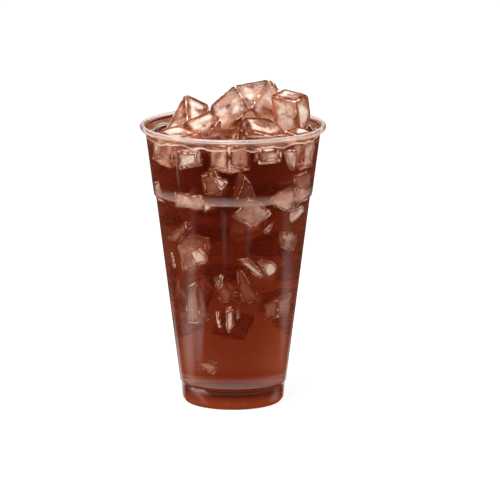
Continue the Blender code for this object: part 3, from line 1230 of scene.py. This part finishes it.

# %% [markdown]
# ## Ice under the surface
#
# Most of the ice lies under the surface. What touches the wall is seen sharply, and what lies deeper is
# dimmed to a brown shade by the drink in front of it. Each block is a cube that is broken, turned and
# melted. Its place is given by the way round the cup from the front, its height, and its depth from
# the wall.
#
# The chips near the front are the ones that make the drink's look, so each is drawn one by one: a chip
# starts as a flat slab, and one slanted break along each side of its outline cuts it out.

# %% Chips near the front, by the corners of their outlines
CHIPS = (
    # millimetres from the wall, thickness, cloudiness, corners (way round from the front, height)
    (1.6, 2.4, 1.00, ((-15.8, 129.6), (-9.5, 128.1), (-3.3, 125.8), (-8.3, 121.4))),
    (6.5, 6.0, 0.35, ((-24, 127.5), (-14.4, 129.6), (-7.6, 122.2), (-9.8, 118.4), (-21.8, 117.3))),
    (1.6, 4.5, 0.90, ((-47.7, 118.7), (-41.1, 118.6), (-24.2, 116.1), (-23.2, 111.8), (-34.3, 109),
        (-48.1, 110.1))),
    (1.4, 2.6, 0.80, ((-22.8, 115.1), (-12.2, 112.6), (-22.8, 107.9))),
    (1.8, 5.0, 0.45, ((-0.6, 107.9), (6, 113), (13.1, 116.1), (22.5, 113.5), (31.9, 107.8), (18.2, 100.2))),
    (1.6, 2.2, 0.70, ((20.9, 98.7), (28.4, 100.4), (33.1, 102.8), (31.1, 95.9))),
    (1.8, 4.5, 0.7, ((26.2, 114.9), (38.5, 119.4), (52, 120), (54, 108), (45.8, 107.4), (34, 111))),
    (1.8, 4.0, 0.6, ((53, 120), (64, 119), (74, 117), (74, 113.5), (56, 108.5))),
    (1.6, 2.6, 0.90, ((47.6, 106.1), (65.8, 108.6), (74.8, 105.2), (55.6, 99.5))),
    (3.5, 5.5, 0.60, ((46.2, 93.5), (53, 96.6), (66.8, 93.3), (73.3, 85.9), (61.3, 84.2), (50.2, 87.1))),
    (5.5, 8.0, 0.55, ((-61.1, 88.6), (-48.4, 93.8), (-31.7, 93.1), (-28.2, 83.5), (-38.1, 77.3),
        (-53.8, 73.1))),
    (2.5, 4.0, 0.95, ((-39.6, 86.5), (-31.2, 89.4), (-23.5, 84.9), (-22.8, 81.7), (-35.6, 79.2))),
    (5.0, 6.0, 0.25, ((-73.4, 90.3), (-47.9, 101.5), (-43.2, 96.5), (-59.4, 88.8))),
    (3.0, 5.0, 1.3, ((4.2, 82.3), (12.5, 82.7), (23.2, 78.9), (31.6, 72.4), (25.8, 72.7), (14.6, 77.1))),
    (2.4, 5.0, 1.2, ((24.2, 79.4), (28.5, 81.9), (37.6, 80.7), (43.1, 76.9), (41, 74.3), (32.6, 72.3))),
    (3.0, 4.0, 0.60, ((-18.3, 71.5), (-11.9, 73.9), (-8.4, 74), (-10.4, 67.9), (-15.9, 67.2))),
    (1.8, 6.0, 0.15, ((-48.9, 64.9), (-37.5, 67.5), (-34.4, 60.1), (-32, 49.3), (-37.7, 47.2),
        (-51, 47.1))),
    (3.2, 5.0, 1.5, ((-8.2, 54.2), (1, 55.6), (1.9, 47.6), (-3.8, 42.7), (-7.6, 45.9))),
    (2.4, 3.5, 1.10, ((1.4, 55.9), (6, 57.3), (7.5, 51.5), (2.9, 49.3))),
    (1.3, 1.6, 0.90, ((-17.2, 56.1), (-15.3, 56.2), (-12.4, 46.4), (-14.4, 45.7))),
    (4.0, 7.0, 0.25, ((43.8, 59.3), (75.8, 61.7), (80.7, 48.6), (48.9, 49.5))),
    (1.6, 2.4, 0.80, ((-57.1, 9.8), (-38, 10.3), (-35.5, 7.7), (-41.8, 6.2), (-53.4, 7.1))),
    (1.5, 2.4, 0.80, ((-79.4, 118.6), (-69.6, 120.5), (-65.3, 113.6), (-78.4, 109), (-78.9, 111.1))),
    (1.3, 1.4, 1.00, ((-66, 82.8), (-61.8, 83.3), (-59.4, 75.7), (-63.1, 74.7))),
    (8.0, 8.0, 0.2, ((2.6, 75.7), (8.5, 77.3), (18.5, 69.8), (27.1, 60.6), (13.7, 59), (4.4, 66.9))),
    (7.0, 7.0, 0.2, ((-17.7, 66), (-9.4, 70.1), (-1.7, 65.8), (-2.6, 59.7), (-13.6, 59))),
    (8.0, 7.0, 0.2, ((9.1, 128.7), (15, 124.7), (21.4, 116.3), (5.2, 116.8))),
    (3.0, 5.0, 0.30, ((51.2, 126.1), (71.6, 127.3), (79.2, 117), (55.4, 118.6))),
    (3.0, 4.0, 0.25, ((-45.1, 25.6), (-29, 26.8), (-15.8, 24.7), (-23, 18.8), (-33.7, 20.4))),
    (1.4, 4.5, 1.3, ((-41.3, 139.9), (-25, 141.3), (-25.2, 135.3), (-32.9, 133.4), (-41.7, 131.5))),
    (1.3, 3.0, 1.1, ((38.5, 139.8), (41, 141), (47, 140.8), (50, 136.5), (48.5, 129.5), (42, 133))),
)
print("chips near the front:", len(CHIPS))

# %% [markdown]
# Ice breaks in flat faces. In a mesh a break is a plane: what lies beyond it is cut away, and the open
# edge is filled with one face. Every block is made at the origin, where a break is easy to give, and is
# then turned and moved to its place.

# %% Break a block, and stand it in its place
def break_off(bm, facing, distance):
    """Takes away what lies beyond a flat break, and closes the block again with one face."""
    cut = bmesh.ops.bisect_plane(
        bm,
        geom=bm.verts[:] + bm.edges[:] + bm.faces[:],
        plane_co=facing * distance,
        plane_no=facing,
        clear_outer=True,
    )
    rim = [item for item in cut["geom_cut"] if isinstance(item, bmesh.types.BMEdge)]
    if rim:
        bmesh.ops.edgeloop_fill(bm, edges=rim)


def stand_round(bm, way, distance, height, *turns):
    """Turns a block that was made at the origin, and moves it to its place round the cup."""
    bmesh.ops.recalc_face_normals(bm, faces=bm.faces)
    matrix = Matrix.Rotation(math.radians(way), 4, "Z") @ Matrix.Translation((0.0, -distance, height))
    for turn in turns:
        matrix = matrix @ turn
    bmesh.ops.transform(bm, matrix=matrix, verts=bm.verts)


# %% Cut a chip out of a slab
WALL_LEAN = math.radians(7.2)
SIDE_SLANT = (-0.6, 0.2)
FRONT_SLANT = (-0.4, 0.4)
FRONT_BREAK = 0.42


def chip_middle(depth, thickness, corners):
    """Way round, height and distance from the axis of a chip's middle, in degrees and millimetres."""
    way = sum(corner[0] for corner in corners) / len(corners)
    height = sum(corner[1] for corner in corners) / len(corners)
    return way, height, wall_radius(height * MM) / MM - depth - thickness / 2


def sunk_chip(depth, thickness, corners, seed):
    """A flat chip that lies along the wall. Each side of its outline is one slanted break."""
    draw = random.Random(seed)
    way, height, radius = chip_middle(depth, thickness, corners)
    flat = [Vector((math.radians(w - way) * radius, z - height)) for w, z in corners]
    reach = max(corner.length for corner in flat)
    bm = bmesh.new()
    bmesh.ops.create_cube(bm, size=1.0)
    bmesh.ops.scale(bm, vec=Vector((3 * reach, thickness, 3 * reach)) * MM, verts=bm.verts)
    for a, b in zip(flat, flat[1:] + flat[:1]):
        outwards = Vector((b.y - a.y, a.x - b.x)).normalized()
        if outwards.dot(a + b) < 0:
            outwards.negate()
        facing = Vector((outwards.x, draw.uniform(*SIDE_SLANT), outwards.y)).normalized()
        break_off(bm, facing, facing.dot(Vector((a.x, -thickness / 2, a.y))) * MM)
    facing = Vector((draw.uniform(*FRONT_SLANT), -1.0, draw.uniform(*FRONT_SLANT))).normalized()
    break_off(bm, facing, thickness * FRONT_BREAK * MM)
    stand_round(bm, way, radius * MM, height * MM, Matrix.Rotation(WALL_LEAN, 4, "X"))
    return bm


# %% [markdown]
# A chip is flat and the wall is round, so the corners of a wide chip could come out through the
# plastic. They are pulled back until they lie just inside it, which also bends the chip to the wall, as
# if it had melted against it.

# %% Keep the sunk ice off the wall
ROOM_AT_WALL = 0.35 * MM
CHECKED_HEIGHTS = np.linspace(1 * MM, 145 * MM, 400)


def keep_inside(bm):
    """Moves what would poke through the wall back inside it."""
    radii = [wall_radius(height) - ROOM_AT_WALL for height in CHECKED_HEIGHTS]
    moved = 0
    for vertex in bm.verts:
        room = float(np.interp(vertex.co.z, CHECKED_HEIGHTS, radii))
        fit = room / max(math.hypot(vertex.co.x, vertex.co.y), MM)
        if fit < 1.0:
            vertex.co.x *= fit
            vertex.co.y *= fit
            moved += 1
    print("points moved inside the wall:", moved)


# %% [markdown]
# All ice of one finish is joined into one piece, because there is a lot of it and no block of it moves
# on its own. Far ice is seen less sharply, so its mesh can be coarser.

# %% Melt many blocks into one piece
SUNK_SHARP_ANGLE = math.radians(30.0)
FIRST_SEED = 50
EVEN_TONE = 0.6
FRONT_VOXEL = 0.45 * MM
FRONT_DENTS = 0.6


def set_clouds(bm, share):
    """Evens out the tones of a block, and makes all of them paler or darker."""
    tone = bm.verts.layers.float["tone"]
    for vertex in bm.verts:
        vertex[tone] = share * (EVEN_TONE + (1.0 - EVEN_TONE) * vertex[tone])


def join_melted(name, blocks, cut, finish, voxel, dents, clouds=None):
    """One piece made of many melted blocks. Coarse voxels leave steps, so these are smoothed more."""
    passes = 2 * (round(voxel / ICE_VOXEL * 2) - 2)
    pieces = []
    for number, block in enumerate(blocks):
        seed = FIRST_SEED + number
        fine = melted(cut(*block, seed=seed), seed, voxel, dents, SUNK_SHARP_ANGLE)
        if clouds:
            set_clouds(fine, clouds[number])
        smooth(fine, passes)
        pieces.append(fine)
    joined = join_meshes(pieces)
    keep_inside(joined)
    piece = add_piece(name, joined, [finish])


FRONT_CHIPS = [(depth, thickness, corners) for depth, thickness, _, corners in CHIPS]
FRONT_CLOUDS = [cloud for _, _, cloud, _ in CHIPS]
join_melted("sunk_ice_front", FRONT_CHIPS, sunk_chip, SUNK_ICE, FRONT_VOXEL, FRONT_DENTS, FRONT_CLOUDS)

# %% [markdown]
# The rest of the ice has no places of its own: it only has to fill the cup as evenly as a scoop of ice
# does. So its blocks are thrown in at random, and a block that would come too close to another is
# thrown again. The draws are seeded, so every run gives the same blocks.

# %% Remember where there is ice already
CHIP_REACH = 0.8
BLOCK_REACH = 2.4


def spots_of(chips):
    """The middle and the reach of each chip, in millimetres."""
    spots = []
    for depth, thickness, corners in chips:
        way, height, radius = chip_middle(depth, thickness, corners)
        wide = max(radius * math.radians(abs(corner[0] - way)) for corner in corners)
        spots.append((place_round(way, radius, height), CHIP_REACH * wide))
    return spots


TAKEN = spots_of(FRONT_CHIPS)
for name in ICE_NODES:
    low, high = [Vector(corner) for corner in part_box(name)]
    TAKEN.append(((low + high) / 2 / MM, (high - low).length / BLOCK_REACH / MM))
print("places taken:", len(TAKEN))

# %% Throw blocks in at random
TRIES_PER_BLOCK = 40
BLOCK_FILLS_BOX = 0.80
ROOM_BEHIND_WALL = 0.55
BREAK_AT = 0.36
MOST_ROLL = 40
MOST_TURN = 45
MOST_NOD = 25


def scattered_blocks(count, seed, ways, depths, heights, sizes):
    """Blocks at random places that keep clear of each other and of those already there."""
    draw = random.Random(seed)
    made = []
    for _ in range(count * TRIES_PER_BLOCK):
        if len(made) == count:
            break
        way = draw.uniform(*ways)
        height = draw.uniform(*heights)
        depth = draw.uniform(*depths)
        sides = [draw.uniform(*sizes) for _ in range(3)]
        reach = 0.5 * math.sqrt(sum(side * side for side in sides)) * BLOCK_FILLS_BOX
        radius = wall_radius(height * MM) / MM - depth
        if radius < 0 or depth < ROOM_BEHIND_WALL * max(sides):
            continue
        spot = place_round(way, radius, height)
        if any((spot - other).length < reach + room for other, room in TAKEN):
            continue
        TAKEN.append((spot, reach))
        facing = Vector([draw.uniform(-1, 1) for _ in range(3)]).normalized()
        turns = [draw.uniform(-most, most) for most in (MOST_ROLL, MOST_TURN, MOST_NOD)]
        made.append((way, height, depth, sides, turns, facing, BREAK_AT * max(sides)))
    print("scattered blocks:", len(made))
    return made


AROUND_BLOCKS = scattered_blocks(
    20, seed=5, ways=(108.0, 252.0), depths=(4.0, 9.0), heights=(40.0, 128.0), sizes=(8.0, 16.0)
)
DEEP_BLOCKS = scattered_blocks(
    20, seed=8, ways=(0.0, 360.0), depths=(15.0, 32.0), heights=(62.0, 124.0), sizes=(13.0, 19.0)
)

# %% Cut those blocks out of cubes
CHIPPED_CORNERS = 4
UNEVEN = (-0.06, 0.06)
CORNER_PLACE = (0.30, 0.65)
CORNER_LEFT = (0.62, 0.82)
AROUND_VOXEL = 0.8 * MM
AROUND_DENTS = 0.7
DEEP_VOXEL = 0.9 * MM
DEEP_DENTS = 0.5


def sunk_block(way, height, depth, sides, turns, facing, distance, seed):
    """A broken, turned block near the wall, as a sharp bmesh."""
    draw = random.Random(seed)
    bm = bmesh.new()
    bmesh.ops.create_cube(bm, size=1.0)
    for corner in bm.verts:
        corner.co = Vector([c * s * MM * (1 + draw.uniform(*UNEVEN)) for c, s in zip(corner.co, sides)])
    break_off(bm, facing.normalized(), distance * MM)
    for _ in range(CHIPPED_CORNERS):
        corner = Vector([draw.choice((-1, 1)) * side * draw.uniform(*CORNER_PLACE) for side in sides]) * MM
        break_off(bm, corner.normalized(), corner.length * draw.uniform(*CORNER_LEFT))
    roll, turn, nod = [math.radians(angle) for angle in turns]
    radius = wall_radius(height * MM) - depth * MM
    stand_round(
        bm,
        way,
        radius,
        height * MM,
        Matrix.Rotation(turn, 4, "Z"),
        Matrix.Rotation(nod, 4, "X"),
        Matrix.Rotation(-roll, 4, "Y"),
    )
    return bm


EVEN_CLOUDS = [1.0] * len(AROUND_BLOCKS)
join_melted("sunk_ice_around", AROUND_BLOCKS, sunk_block, FAR_ICE, AROUND_VOXEL, AROUND_DENTS, EVEN_CLOUDS)
join_melted("sunk_ice_deep", DEEP_BLOCKS, sunk_block, DEEP_ICE, DEEP_VOXEL, DEEP_DENTS)
